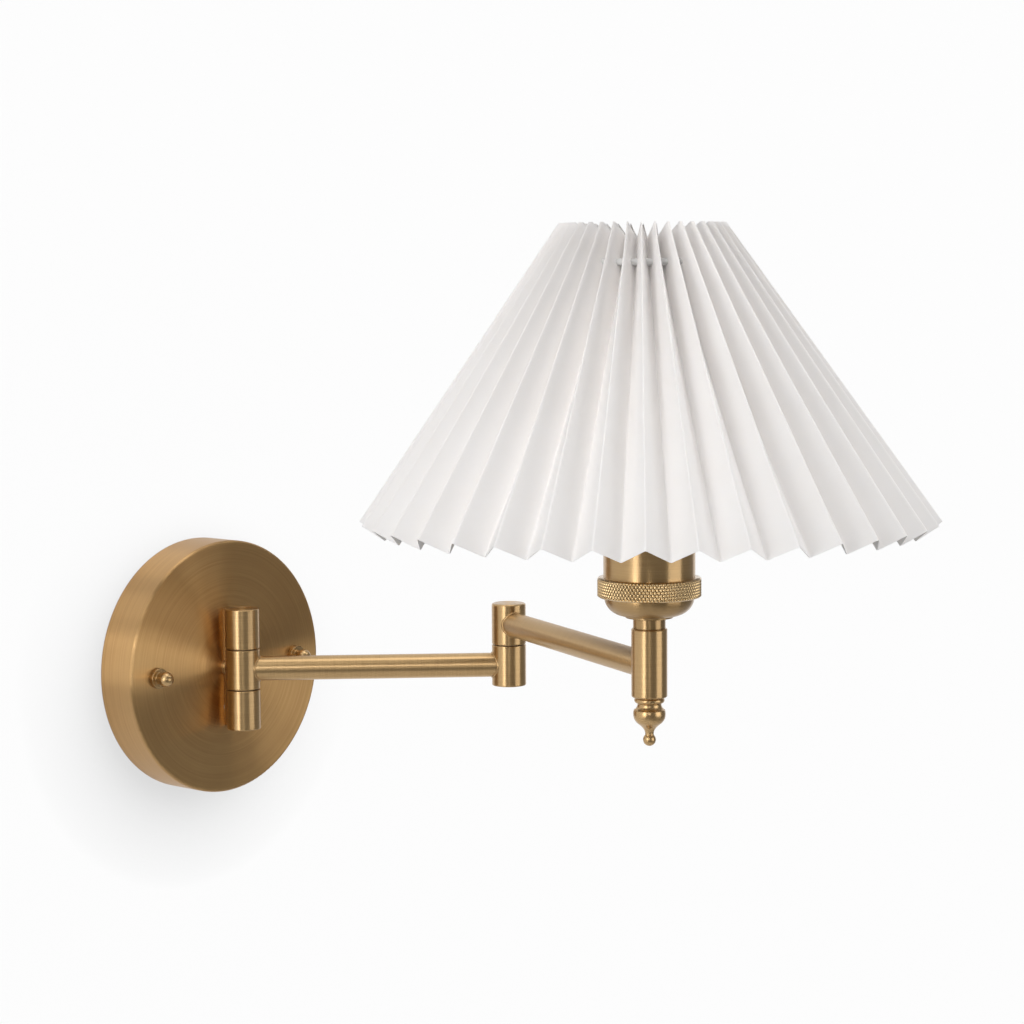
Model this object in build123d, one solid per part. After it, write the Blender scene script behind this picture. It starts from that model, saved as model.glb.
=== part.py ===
from build123d import *
import os
from math import asin, cos, degrees, radians, sin, sqrt

# Swing arm wall lamp, in millimetres.
# The wall is the plane Y = 0, the lamp stands out along -Y, and +Z is up.
# The origin is the centre of the canopy's rim on the wall.
# Bearings are degrees from -Y towards +X. Depths are distances from the wall.

# Clearances
fit_clearance = 0.02
running_clearance = 0.05
thrust_clearance = 0.1
seat_clearance = 0.3

# Canopy
canopy_radius = 60.0
canopy_depth = 21.0
canopy_wall = 1.5
canopy_edge_radius = 1.0

# Wall bracket behind the canopy
bracket_width = 18.0
bracket_thickness = 2.5
bracket_end_margin = 7.5
bracket_hole_radius = 7.0
tab_width = 30.0
tab_height = 28.0
wall_slot_spacing = 60.0
wall_slot_length = 10.0
wall_slot_radius = 2.3
earth_screw_radius = 2.0
earth_screw_spot = 16.0
earth_head_radius = 3.6
earth_head_height = 2.4

# Studs and cap nuts that hold the canopy
stud_spacing = 88.9
stud_radius = 2.0
stud_reach = 5.0
stud_nut_width = 7.0
stud_nut_height = 3.2
stud_hole_clearance = 0.3
cap_base_radius = 4.7
cap_base_height = 2.4
cap_neck_radius = 2.9
cap_ball_radius = 3.5
cap_ball_height = 6.4

# Terminal block on the bracket's tab
block_width = 27.0
block_height = 15.0
block_depth = 12.0
block_lift = 8.0
pole_pitch = 8.5
barrel_radius = 2.4
barrel_bore = 1.7
barrel_lift = 5.0
barrel_inset = 1.0
terminal_screw_radius = 1.3
terminal_screw_spacing = 7.0
terminal_screw_recess = 1.0
fixing_screw_radius = 1.2
fixing_head_radius = 2.2
fixing_head_height = 1.6
fixing_head_recess = 1.0

# Shoulder hinge
hinge_depth = 31.6
knuckle_radius = 8.1
knuckle_edge_radius = 0.4
shoulder_knuckle_height = 18.8
hinge_gap = 0.4
washer_thickness = 0.3
washer_width = 0.9
pin_radius = 4.5
pin_bore = 2.5
shoulder_pin_grip = 13.0
plug_radius = 6.3
plug_thickness = 2.0
stop_pin_radius = 0.8
stop_pin_circle = 6.6
stop_pin_rise = 1.0
stop_pin_sink = 3.0
stop_groove_depth = 1.4
stop_margin = 1.0
shoulder_limit = 80.0

# Yoke that holds the fixed knuckles off the canopy
yoke_width = 5.0
yoke_end_margin = 0.6
yoke_running_gap = 0.4
yoke_boss_radius = 4.2
yoke_stud_radius = 3.0
yoke_stud_margin = 2.0
yoke_washer_radius = 7.0
yoke_washer_thickness = 1.0
yoke_nut_width = 10.0
yoke_nut_height = 5.0

# Arms
arm_radius = 5.75
arm_wall = 1.2
first_arm_length = 126.0
first_arm_bearing = 44.0
second_arm_length = 145.0
second_arm_bearing = -25.0

# Elbow hinge
elbow_knuckle_height = 19.4
elbow_edge_radius = 1.0
elbow_limit = 135.0
elbow_floor = 3.0
elbow_chamber_radius = 5.7
elbow_pin_sink = 16.5
clip_thickness = 1.0
clip_depth = 0.4
clip_radius = 5.5
clip_opening = 3.0
pin_end_margin = 0.4

# Leads
lead_radius = 1.4
lead_bend = 2.0
lead_clearance = 0.15
lead_gap = 0.5
wire_hole_clearance = 0.4
port_clearance = 0.25
bush_wall = 1.1
bush_flange_radius = 4.0
bush_flange_thickness = 1.0

# Stem and finial
stem_radius = 7.65
stem_height = 29.5
stem_rise = 16.25
stem_chamfer = 0.5
stem_bore = 2.5
finial_stud_radius = 2.5
finial_stud_length = 6.0
finial_bead_radius = 6.45
finial_bead_height = 2.6
finial_neck_radius = 5.2
finial_neck_drop = 3.7
finial_shoulder_radius = 6.6
finial_shoulder_drop = 5.4
finial_bulb_radius = 6.92
finial_bulb_drop = 7.4
finial_belly_radius = 6.0
finial_belly_drop = 10.3
finial_flank_radius = 4.0
finial_flank_drop = 12.15
finial_waist_radius = 1.85
finial_waist_drop = 15.3
finial_ball_radius = 2.75
finial_ball_drop = 18.3

# Neck, socket cup, knurled ring and shell above the stem
nipple_radius = 5.0
nipple_bore = 3.0
nipple_sink = 8.0
nipple_end_margin = 1.0
nipple_nut_width = 14.0
nipple_nut_height = 3.2
collar_radius = 6.9
collar_height = 4.6
cup_foot_radius = 10.1
cup_rim_radius = 19.1
cup_height = 8.9
cup_wall = 1.2
cup_lip = 0.8
ring_radius = 22.0
ring_height = 8.2
ring_chamfer = 1.0
shell_radius = 19.45
shell_wall = 1.0
shell_height = 44.5

# Lampholder and bulb
holder_clearance = 0.2
holder_height = 42.5
holder_floor = 10.5
screw_shell_bore = 13.4
screw_shell_wall = 0.4
screw_shell_height = 26.0
screw_shell_lift = 2.0
contact_radius = 5.0
contact_thickness = 1.0
rivet_radius = 2.0
bulb_thread_clearance = 0.2
bulb_cap_wall = 0.5
bulb_cap_height = 27.0
bulb_cap_taper = 6.0
bulb_tip_radius = 4.5
bulb_neck_sink = 6.0
bulb_radius = 22.5
bulb_lift = 26.0
glass_thickness = 0.8

# Shade rings and wire carrier
shade_ring_radius = 24.5
shade_ring_height = 4.0
shade_ring_lift = 32.5
fitter_thickness = 2.0
carrier_wire_radius = 1.5
carrier_wire_count = 3
carrier_ring_drop = 30.0

# Pleated shade
pleat_count = 38
pleat_bearing = -53.0
shade_lift = 46.6
shade_height = 124.2
shade_top_radius = 35.3
shade_bottom_radius = 122.2
pleat_top_depth = 10.3
pleat_bottom_depth = 8.0
rim_slope = 0.7
paper_thickness = 0.6
trim_margin = 1.0
gather_drop = 16.6
gather_radius = 36.0
gather_cord_radius = 1.6

upright = (Align.CENTER, Align.CENTER, Align.MIN)


# A vertical round bar at a spot on the plan, between two heights
def rod(radius, low, high, spot=(0, 0)):
    return Pos(spot[0], spot[1], low) * Cylinder(radius, high - low, align=upright)


# A vertical round tube at a spot on the plan, between two heights
def tube(outer, inner, low, high, spot=(0, 0)):
    return rod(outer, low, high, spot) - rod(inner, low, high, spot)


# A vertical six-sided nut on the Z axis
def nut(width, bore, low, height):
    body = Pos(0, 0, low) * extrude(RegularPolygon(width / 2, 6, major_radius=False), height)
    return body - rod(bore, low, low + height)


# A closed outline of radius and height, turned about the vertical through a spot
def turned(outline, spot=(0, 0)):
    return Pos(spot[0], spot[1], 0) * revolve(Plane.XZ * make_face(outline), Axis.Z)


# The plane on the wall whose own Z runs out of the wall and whose own Y runs up
def wall_plane(x=0, z=0):
    return Plane(origin=(x, 0, z), x_dir=(1, 0, 0), z_dir=(0, -1, 0))


# The plane at a spot and height whose own Z runs level along a bearing
def level_plane(spot, height, bearing):
    return Plane(origin=(spot[0], spot[1], height), z_dir=(sin(radians(bearing)), -cos(radians(bearing)), 0))


# The spot a distance away from another along a bearing
def spot_along(spot, distance, bearing):
    return (spot[0] + distance * sin(radians(bearing)), spot[1] - distance * cos(radians(bearing)))


# A knuckle of a hinge, with both rims rounded
def knuckle(low, high, spot, low_edge=knuckle_edge_radius, top_edge=knuckle_edge_radius):
    body = rod(knuckle_radius, low, high, spot)
    body = fillet(body.edges().group_by(Axis.Z)[0], low_edge)
    return fillet(body.edges().group_by(Axis.Z)[-1], top_edge)


# A thrust washer around a hinge pin
def hinge_washer(low, spot):
    bore = pin_radius + running_clearance
    return tube(bore + washer_width, bore, low, low + washer_thickness, spot)


# A round lead along a route with rounded corners
def lead(route, bends):
    path = FilletPolyline(*route, radius=bends)
    return sweep(Plane(origin=path @ 0, z_dir=path % 0) * Circle(lead_radius), path=path)


# A tube along a bearing between two upright posts, coped to both
def coped_tube(start, length, height, bearing, end_radius):
    pipe = level_plane(start, height, bearing) * tube(arm_radius, arm_bore, 0, length)
    low = height - 2 * arm_radius
    high = height + 2 * arm_radius
    pipe -= rod(knuckle_radius + fit_clearance, low, high, start)
    return pipe - rod(end_radius + fit_clearance, low, high, spot_along(start, length, bearing))


# A round hole from an upright axis outwards along a bearing
def side_hole(radius, spot, height, bearing, reach):
    return level_plane(spot, height, bearing) * rod(radius, 0, reach)


# A groove about a hinge in the face at a height, for a stop pin that wanders between two bearings
def stop_groove(spot, face, first_bearing, last_bearing):
    spare = degrees(asin(stop_pin_radius / stop_pin_circle)) + stop_margin
    groove_width = 2 * (stop_pin_radius + thrust_clearance)
    section = Pos(stop_pin_circle, face) * Rectangle(groove_width, 2 * stop_groove_depth)
    sector = revolve(Plane.XZ * section, Axis.Z, last_bearing - first_bearing + 2 * spare)
    return Pos(spot[0], spot[1], 0) * Rot(0, 0, first_bearing - spare - 90) * sector


# A dowel that stands out of a knuckle's top face into the groove above it
def stop_pin(spot, face, bearing, clearance=0.0):
    high = face + hinge_gap + stop_pin_rise
    pin_spot = spot_along(spot, stop_pin_circle, bearing)
    return rod(stop_pin_radius + clearance, face - stop_pin_sink, high, pin_spot)


pieces = {}

# Places that several pieces share
shoulder = (0, -hinge_depth)
elbow = spot_along(shoulder, first_arm_length, first_arm_bearing)
stem_spot = spot_along(elbow, second_arm_length, second_arm_bearing)
middle_top = shoulder_knuckle_height / 2
middle_low = -middle_top
upper_low = middle_top + hinge_gap
upper_top = upper_low + shoulder_knuckle_height
lower_top = middle_low - hinge_gap
lower_low = lower_top - shoulder_knuckle_height
elbow_split = elbow_knuckle_height / 2
elbow_low = -elbow_split
elbow_upper_low = elbow_split + hinge_gap
elbow_top = elbow_upper_low + elbow_knuckle_height
second_arm_z = (elbow_upper_low + elbow_top) / 2
stem_top = second_arm_z + stem_rise
stem_low = stem_top - stem_height
arm_bore = arm_radius - arm_wall
lead_drop = arm_bore - lead_radius - lead_clearance
first_lead_z = -lead_drop
second_lead_z = second_arm_z - lead_drop
wire_hole = lead_radius + wire_hole_clearance
port_hole = lead_radius + port_clearance
port_z = (lower_top + lower_low) / 2
canopy_inside = canopy_depth - canopy_wall
stud_xs = (-stud_spacing / 2, stud_spacing / 2)

# Canopy: a shallow cup, open towards the wall
bush_radius = port_hole + bush_wall
canopy = rod(canopy_radius, 0, canopy_depth)
canopy = fillet(canopy.edges().group_by(Axis.Z)[-1], canopy_edge_radius)
canopy -= rod(canopy_radius - canopy_wall, 0, canopy_inside)
for x in stud_xs:
    canopy -= rod(stud_radius + stud_hole_clearance, canopy_inside, canopy_depth, (x, 0))
canopy -= rod(yoke_stud_radius + fit_clearance, canopy_inside, canopy_depth)
canopy -= rod(bush_radius + fit_clearance, canopy_inside, canopy_depth, (0, port_z))
pieces["canopy"] = wall_plane() * canopy

# Wall bracket: a bar with two slots for the wall screws and a tab for the terminal block
block_low = bracket_width / 2 + block_lift
block_mid = block_low + block_height / 2
fixing_spot = (-pole_pitch / 2, block_mid)
bracket = Box(stud_spacing + 2 * bracket_end_margin, bracket_width, bracket_thickness, align=upright)
tab = Box(tab_width, tab_height, bracket_thickness, align=upright)
bracket += Pos(0, (bracket_width + tab_height) / 2, 0) * tab
bracket -= rod(bracket_hole_radius, 0, bracket_thickness)
wall_slot = extrude(SlotOverall(wall_slot_length, 2 * wall_slot_radius), bracket_thickness)
for x in (-wall_slot_spacing / 2, wall_slot_spacing / 2):
    bracket -= Pos(x, 0, 0) * wall_slot
for x in stud_xs:
    bracket -= rod(stud_radius + fit_clearance, 0, bracket_thickness, (x, 0))
bracket -= rod(earth_screw_radius + fit_clearance, 0, bracket_thickness, (earth_screw_spot, 0))
bracket -= rod(fixing_screw_radius + fit_clearance, 0, bracket_thickness, fixing_spot)
pieces["wall_bracket"] = wall_plane() * bracket

# Earth screw in the bracket's bar
earth_screw = rod(earth_screw_radius, 0, bracket_thickness)
earth_screw += rod(earth_head_radius, bracket_thickness, bracket_thickness + earth_head_height)
pieces["earth_screw"] = wall_plane(earth_screw_spot) * earth_screw

# Studs, their lock nuts on the bracket, and the ball-ended cap nuts on the canopy's face
stud = rod(stud_radius, 0, canopy_depth + stud_reach)
stud_nut = nut(stud_nut_width, stud_radius + fit_clearance, bracket_thickness, stud_nut_height)
cap_ball = canopy_depth + cap_ball_height
cap_shoulder = canopy_depth + cap_base_height
cap_neck_top = cap_ball - sqrt(cap_ball_radius**2 - cap_neck_radius**2)
cap_tip = (0, cap_ball + cap_ball_radius)
cap_neck_point = (cap_neck_radius, cap_neck_top)
cap_nut = turned([
    Polyline(cap_tip, (0, canopy_depth), (cap_base_radius, canopy_depth), (cap_base_radius, cap_shoulder),
             (cap_neck_radius, cap_shoulder), cap_neck_point),
    ThreePointArc(cap_neck_point, (cap_ball_radius, cap_ball), cap_tip),
])
cap_nut -= rod(stud_radius + fit_clearance, canopy_depth, canopy_depth + stud_reach)
pieces["bracket_studs"] = Compound([wall_plane(x) * stud for x in stud_xs])
pieces["stud_nuts"] = Compound([wall_plane(x) * stud_nut for x in stud_xs])
pieces["cap_nuts"] = Compound([wall_plane(x) * cap_nut for x in stud_xs])

# Terminal block: three barrels through it, two screws to a barrel and one fixing screw between barrels
block_front = bracket_thickness + block_depth
barrel_depth = bracket_thickness + barrel_lift
pole_xs = (-pole_pitch, 0, pole_pitch)
screw_ys = (block_mid - terminal_screw_spacing / 2, block_mid + terminal_screw_spacing / 2)
screw_front = block_front - terminal_screw_recess
screw_spots = [(x, y) for x in pole_xs for y in screw_ys]
block = Pos(0, block_mid, bracket_thickness) * Box(block_width, block_height, block_depth, align=upright)
barrels = []
for x in pole_xs:
    pole = Plane(origin=(x, block_low, barrel_depth), z_dir=(0, 1, 0))
    block -= pole * rod(barrel_radius + fit_clearance, barrel_inset, block_height - barrel_inset)
    block -= pole * rod(barrel_bore, 0, block_height)
    barrel = pole * tube(barrel_radius, barrel_bore, barrel_inset, block_height - barrel_inset)
    for y in screw_ys:
        barrel -= rod(terminal_screw_radius + fit_clearance, barrel_depth, block_front, (x, y))
    barrels.append(wall_plane() * barrel)
for spot in screw_spots:
    block -= rod(terminal_screw_radius + fit_clearance, barrel_depth, block_front, spot)
fixing_top = block_front - fixing_head_recess
fixing_head_low = fixing_top - fixing_head_height
block -= rod(fixing_screw_radius + fit_clearance, bracket_thickness, block_front, fixing_spot)
block -= rod(fixing_head_radius + fit_clearance, fixing_head_low, block_front, fixing_spot)
fixing_screw = rod(fixing_screw_radius, 0, fixing_head_low, fixing_spot)
fixing_screw += rod(fixing_head_radius, fixing_head_low, fixing_top, fixing_spot)
terminal_screws = [
    wall_plane() * rod(terminal_screw_radius, barrel_depth, screw_front, spot) for spot in screw_spots
]
pieces["terminal_block"] = wall_plane() * block
pieces["terminal_barrels"] = Compound(barrels)
pieces["terminal_screws"] = Compound(terminal_screws)
pieces["terminal_fixing_screw"] = wall_plane() * fixing_screw

# Hinge yoke: a strap on the canopy's face, with saddles for the fixed knuckles and a stud through the canopy
strap_front = hinge_depth - knuckle_radius - yoke_running_gap
strap_half = upper_top - yoke_end_margin
saddle_height = strap_half - upper_low
saddle = Box(yoke_width, saddle_height, hinge_depth - canopy_depth, align=upright)
yoke = Pos(0, 0, canopy_depth) * Box(yoke_width, 2 * strap_half, strap_front - canopy_depth, align=upright)
for z in (upper_low + saddle_height / 2, -upper_low - saddle_height / 2):
    yoke += Pos(0, z, canopy_depth) * saddle
yoke += rod(yoke_boss_radius, canopy_depth, strap_front)
yoke_nut_low = canopy_inside - yoke_washer_thickness - yoke_nut_height
yoke += rod(yoke_stud_radius, yoke_nut_low - yoke_stud_margin, canopy_depth)
yoke -= rod(port_hole, canopy_depth, hinge_depth, (0, port_z))
yoke = wall_plane() * yoke
yoke -= rod(knuckle_radius + fit_clearance, upper_low - hinge_gap, upper_top, shoulder)
yoke -= rod(knuckle_radius + fit_clearance, lower_low, lower_top + hinge_gap, shoulder)
yoke_washer_low = canopy_inside - yoke_washer_thickness
yoke_washer = tube(yoke_washer_radius, yoke_stud_radius + fit_clearance, yoke_washer_low, canopy_inside)
yoke_nut = nut(yoke_nut_width, yoke_stud_radius + fit_clearance, yoke_nut_low, yoke_nut_height)
pieces["hinge_yoke"] = yoke
pieces["yoke_washer"] = wall_plane() * yoke_washer
pieces["yoke_nut"] = wall_plane() * yoke_nut

# Fixed knuckles of the shoulder, above and below the arm's own
rear = 180.0
port = side_hole(port_hole, shoulder, port_z, rear, 2 * knuckle_radius)
upper_knuckle = knuckle(upper_low, upper_top, shoulder)
upper_knuckle -= rod(pin_radius + fit_clearance, upper_low, upper_low + shoulder_pin_grip, shoulder)
lower_knuckle = knuckle(lower_low, lower_top, shoulder)
lower_knuckle -= rod(pin_radius + fit_clearance, lower_low, lower_top, shoulder)
lower_knuckle -= rod(plug_radius + fit_clearance, lower_low, lower_low + plug_thickness, shoulder)
lower_knuckle -= stop_pin(shoulder, lower_top, rear, fit_clearance)
lower_knuckle -= port
pieces["upper_knuckle"] = upper_knuckle
pieces["lower_knuckle"] = lower_knuckle
pieces["shoulder_plug"] = rod(plug_radius, lower_low, lower_low + plug_thickness, shoulder)
pieces["shoulder_stop_pin"] = stop_pin(shoulder, lower_top, rear)
pieces["shoulder_washers"] = Compound([
    hinge_washer(lower_top, shoulder),
    hinge_washer(upper_low - washer_thickness, shoulder),
])

# Hollow shoulder pin, with a window in front that the arm's lead sweeps through
window_back = lead_radius + seat_clearance
window_half = lead_radius + lead_gap
window = Pos(0, window_back - hinge_depth, first_lead_z) * Box(
    4 * pin_radius, 4 * pin_radius, 2 * window_half, align=(Align.CENTER, Align.MAX, Align.CENTER))
shoulder_pin_low = lower_low + plug_thickness
shoulder_pin = tube(pin_radius, pin_bore, shoulder_pin_low, upper_low + shoulder_pin_grip, shoulder)
pieces["shoulder_pin"] = shoulder_pin - window - port

# First arm: its knuckle between the fixed ones, its tube and the lower knuckle of the elbow
stop_first = rear - (shoulder_limit - first_arm_bearing)
stop_last = rear + (shoulder_limit + first_arm_bearing)
shoulder_knuckle = knuckle(middle_low, middle_top, shoulder)
shoulder_knuckle -= rod(pin_radius + running_clearance, middle_low, middle_top, shoulder)
shoulder_knuckle -= stop_groove(shoulder, middle_low, stop_first, stop_last)
shoulder_knuckle -= side_hole(wire_hole, shoulder, first_lead_z, first_arm_bearing, 2 * knuckle_radius)
pieces["shoulder_knuckle"] = shoulder_knuckle
pieces["first_arm_tube"] = coped_tube(shoulder, first_arm_length, 0, first_arm_bearing, knuckle_radius)

back_bearing = first_arm_bearing + 180
elbow_pin_low = elbow_split - elbow_pin_sink
elbow_wire_hole = side_hole(wire_hole, elbow, first_lead_z, back_bearing, 2 * knuckle_radius)
elbow_lower = knuckle(elbow_low, elbow_split, elbow)
elbow_lower -= rod(pin_radius + fit_clearance, elbow_pin_low, elbow_split, elbow)
elbow_lower -= stop_pin(elbow, elbow_split, back_bearing, fit_clearance)
elbow_lower -= elbow_wire_hole
pieces["elbow_lower_knuckle"] = elbow_lower
pieces["elbow_stop_pin"] = stop_pin(elbow, elbow_split, back_bearing)

# Hollow elbow pin, with a clip in a groove above the upper knuckle's floor
floor_top = elbow_upper_low + elbow_floor
clip_low = floor_top + washer_thickness + thrust_clearance
clip_top = clip_low + clip_thickness
elbow_pin = tube(pin_radius, pin_bore, elbow_pin_low, clip_top + pin_end_margin, elbow)
clip_seat = pin_radius - clip_depth
clip_groove = tube(2 * pin_radius, clip_seat, clip_low - fit_clearance, clip_top + fit_clearance, elbow)
pieces["elbow_pin"] = elbow_pin - clip_groove - elbow_wire_hole
clip = tube(clip_radius, clip_seat + fit_clearance, clip_low, clip_top, elbow)
clip_cut = Box(2 * clip_radius, clip_opening, clip_thickness, align=(Align.MIN, Align.CENTER, Align.MIN))
pieces["elbow_clip"] = clip - Pos(elbow[0], elbow[1], clip_low) * clip_cut
pieces["elbow_washers"] = Compound([hinge_washer(elbow_split, elbow), hinge_washer(floor_top, elbow)])

# Second arm: the upper knuckle of the elbow, its plug and the tube
bend = second_arm_bearing - first_arm_bearing
elbow_first = back_bearing - (elbow_limit - bend)
elbow_last = back_bearing + (elbow_limit + bend)
plug_low = elbow_top - plug_thickness
elbow_upper = knuckle(elbow_upper_low, elbow_top, elbow, top_edge=elbow_edge_radius)
elbow_upper -= rod(pin_radius + running_clearance, elbow_upper_low, floor_top, elbow)
elbow_upper -= rod(elbow_chamber_radius, floor_top, elbow_top, elbow)
elbow_upper -= rod(plug_radius + fit_clearance, plug_low, elbow_top, elbow)
elbow_upper -= stop_groove(elbow, elbow_upper_low, elbow_first, elbow_last)
elbow_upper -= side_hole(arm_bore, elbow, second_arm_z, second_arm_bearing, 2 * knuckle_radius)
pieces["elbow_upper_knuckle"] = elbow_upper
pieces["elbow_plug"] = rod(plug_radius, plug_low, elbow_top, elbow)
second_arm = coped_tube(elbow, second_arm_length, second_arm_z, second_arm_bearing, stem_radius)
pieces["second_arm_tube"] = second_arm

# Stem: bored for the lead, the finial's stud and the nipple
stem = rod(stem_radius, stem_low, stem_top, stem_spot)
stem = chamfer(stem.edges().filter_by(GeomType.CIRCLE), stem_chamfer)
stem -= rod(stem_bore, second_lead_z - wire_hole - seat_clearance, stem_top, stem_spot)
stem -= side_hole(wire_hole, stem_spot, second_lead_z, second_arm_bearing + 180, 2 * stem_radius)
stem -= rod(nipple_radius + fit_clearance, stem_top - nipple_sink, stem_top, stem_spot)
stem -= rod(finial_stud_radius + fit_clearance, stem_low, stem_low + finial_stud_length, stem_spot)
pieces["stem"] = stem

# Finial: a bead, a hollow neck, a bulb that draws in to a waist, and a ball
bead_core = finial_bead_radius - finial_bead_height / 2
bead_low = stem_low - finial_bead_height
bead_point = (finial_bead_radius, (stem_low + bead_low) / 2)
shoulder_point = (finial_shoulder_radius, stem_low - finial_shoulder_drop)
waist_point = (finial_waist_radius, stem_low - finial_waist_drop)
ball_mid = stem_low - finial_ball_drop
ball_start = (finial_waist_radius, ball_mid + sqrt(finial_ball_radius**2 - finial_waist_radius**2))
ball_end = (0, ball_mid - finial_ball_radius)
stud_top = stem_low + finial_stud_length
pieces["finial"] = turned([
    Polyline(ball_end, (0, stud_top), (finial_stud_radius, stud_top), (finial_stud_radius, stem_low),
             (bead_core, stem_low)),
    ThreePointArc((bead_core, stem_low), bead_point, (bead_core, bead_low)),
    ThreePointArc((bead_core, bead_low), (finial_neck_radius, stem_low - finial_neck_drop), shoulder_point),
    Spline(shoulder_point, (finial_bulb_radius, stem_low - finial_bulb_drop),
           (finial_belly_radius, stem_low - finial_belly_drop),
           (finial_flank_radius, stem_low - finial_flank_drop), waist_point),
    Line(waist_point, ball_start),
    ThreePointArc(ball_start, (finial_ball_radius, ball_mid), ball_end),
], stem_spot)

# Collar, cup and the hollow nipple that clamps them to the stem
cup_foot = stem_top + collar_height
cup_rim = cup_foot + cup_height
cup_floor = cup_foot + cup_lip + cup_wall
nipple_hole = nipple_radius + fit_clearance
bowl_width = cup_rim_radius - cup_foot_radius
bowl_height = cup_height - cup_lip
bowl_centre = (cup_foot_radius, cup_rim)
nipple_top = cup_floor + nipple_nut_height + nipple_end_margin
pieces["neck_collar"] = tube(collar_radius, nipple_hole, stem_top, cup_foot, stem_spot)
pieces["socket_cup"] = turned([
    Polyline((cup_foot_radius, cup_floor), (nipple_hole, cup_floor), (nipple_hole, cup_foot),
             (cup_foot_radius, cup_foot), (cup_foot_radius, cup_foot + cup_lip)),
    EllipticalCenterArc(bowl_centre, bowl_width, bowl_height, 270, arc_size=90),
    Line((cup_rim_radius, cup_rim), (cup_rim_radius - cup_wall, cup_rim)),
    EllipticalCenterArc(bowl_centre, bowl_width - cup_wall, bowl_height - cup_wall, 270, arc_size=90),
], stem_spot)
pieces["stem_nipple"] = tube(nipple_radius, nipple_bore, stem_top - nipple_sink, nipple_top, stem_spot)
nipple_nut = nut(nipple_nut_width, nipple_hole, cup_floor, nipple_nut_height)
pieces["nipple_nut"] = Pos(stem_spot[0], stem_spot[1], 0) * nipple_nut

# Knurled ring and the shell that stands in it
shell_top = cup_rim + shell_height
ring_top = cup_rim + ring_height
knurled_ring = rod(ring_radius, cup_rim, ring_top, stem_spot)
knurled_ring = chamfer(knurled_ring.edges().filter_by(GeomType.CIRCLE), ring_chamfer)
pieces["knurled_ring"] = knurled_ring - rod(shell_radius + fit_clearance, cup_rim, ring_top, stem_spot)
pieces["socket_shell"] = tube(shell_radius, shell_radius - shell_wall, cup_rim, shell_top, stem_spot)

# Lampholder: insulating body, screw shell and centre contact on a rivet
cavity_floor = cup_rim + holder_floor
holder_radius = shell_radius - shell_wall - holder_clearance
screw_shell_radius = screw_shell_bore + screw_shell_wall
contact_top = cavity_floor + contact_thickness
holder = rod(holder_radius, cup_rim, cup_rim + holder_height, stem_spot)
holder -= rod(screw_shell_radius + fit_clearance, cavity_floor, cup_rim + holder_height, stem_spot)
holder -= rod(rivet_radius + fit_clearance, cup_rim, cavity_floor, stem_spot)
pieces["lampholder_body"] = holder
screw_shell_low = cavity_floor + screw_shell_lift
screw_shell_top = screw_shell_low + screw_shell_height
screw_shell = tube(screw_shell_radius, screw_shell_bore, screw_shell_low, screw_shell_top, stem_spot)
pieces["screw_shell"] = screw_shell
contact = rod(rivet_radius, cup_rim, cavity_floor, stem_spot)
pieces["centre_contact"] = contact + rod(contact_radius, cavity_floor, contact_top, stem_spot)

# Bulb: a screw cap and a glass globe whose neck stands in it
bulb_tip = contact_top + thrust_clearance
bulb_cap_top = bulb_tip + bulb_cap_height
bulb_cap_radius = screw_shell_bore - bulb_thread_clearance
bulb_cap_bore = bulb_cap_radius - bulb_cap_wall
cap_wall_low = bulb_tip + bulb_cap_taper
bulb_neck_radius = bulb_cap_bore - fit_clearance
bulb_neck_low = bulb_cap_top - bulb_neck_sink
globe_mid = bulb_cap_top + bulb_lift
inner_neck = bulb_neck_radius - glass_thickness
inner_globe = bulb_radius - glass_thickness
neck_top = globe_mid - sqrt(bulb_radius**2 - bulb_neck_radius**2)
inner_neck_top = globe_mid - sqrt(inner_globe**2 - inner_neck**2)
pieces["bulb_cap"] = turned(Polyline(
    (0, bulb_tip), (bulb_tip_radius, bulb_tip), (bulb_cap_radius, cap_wall_low),
    (bulb_cap_radius, bulb_cap_top), (bulb_cap_bore, bulb_cap_top), (bulb_cap_bore, cap_wall_low + bulb_cap_wall),
    (bulb_tip_radius, bulb_tip + bulb_cap_wall), (0, bulb_tip + bulb_cap_wall), (0, bulb_tip)), stem_spot)
pieces["bulb_globe"] = turned([
    Line((bulb_neck_radius, bulb_neck_low), (bulb_neck_radius, neck_top)),
    ThreePointArc((bulb_neck_radius, neck_top), (bulb_radius, globe_mid), (0, globe_mid + bulb_radius)),
    Line((0, globe_mid + bulb_radius), (0, globe_mid + inner_globe)),
    ThreePointArc((0, globe_mid + inner_globe), (inner_globe, globe_mid), (inner_neck, inner_neck_top)),
    Polyline((inner_neck, inner_neck_top), (inner_neck, bulb_neck_low), (bulb_neck_radius, bulb_neck_low)),
], stem_spot)

# Shade rings on the shell, with the carrier's fitter ring between them
fitter_low = cup_rim + shade_ring_lift + shade_ring_height + thrust_clearance
fitter_top = fitter_low + fitter_thickness
ring_lows = (cup_rim + shade_ring_lift, fitter_top + thrust_clearance)
shade_ring_bore = shell_radius + fit_clearance
pieces["shade_rings"] = Compound([
    tube(shade_ring_radius, shade_ring_bore, low, low + shade_ring_height, stem_spot) for low in ring_lows
])

# Fold lines of the shade: ridges outside, valleys inside, both straight from the bottom rim to the top rim
shade_low = stem_top + shade_lift
shade_top = shade_low + shade_height
valley_top_radius = shade_top_radius - pleat_top_depth
valley_bottom_radius = shade_bottom_radius - pleat_bottom_depth
valley_top = shade_top - rim_slope * pleat_top_depth
valley_low = shade_low - rim_slope * pleat_bottom_depth
half_pleat = 180.0 / pleat_count


def ridge_radius(z):
    return shade_bottom_radius + (shade_top_radius - shade_bottom_radius) * (z - shade_low) / shade_height


def valley_radius(z):
    share = (z - valley_low) / (valley_top - valley_low)
    return valley_bottom_radius + (valley_top_radius - valley_bottom_radius) * share


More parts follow.
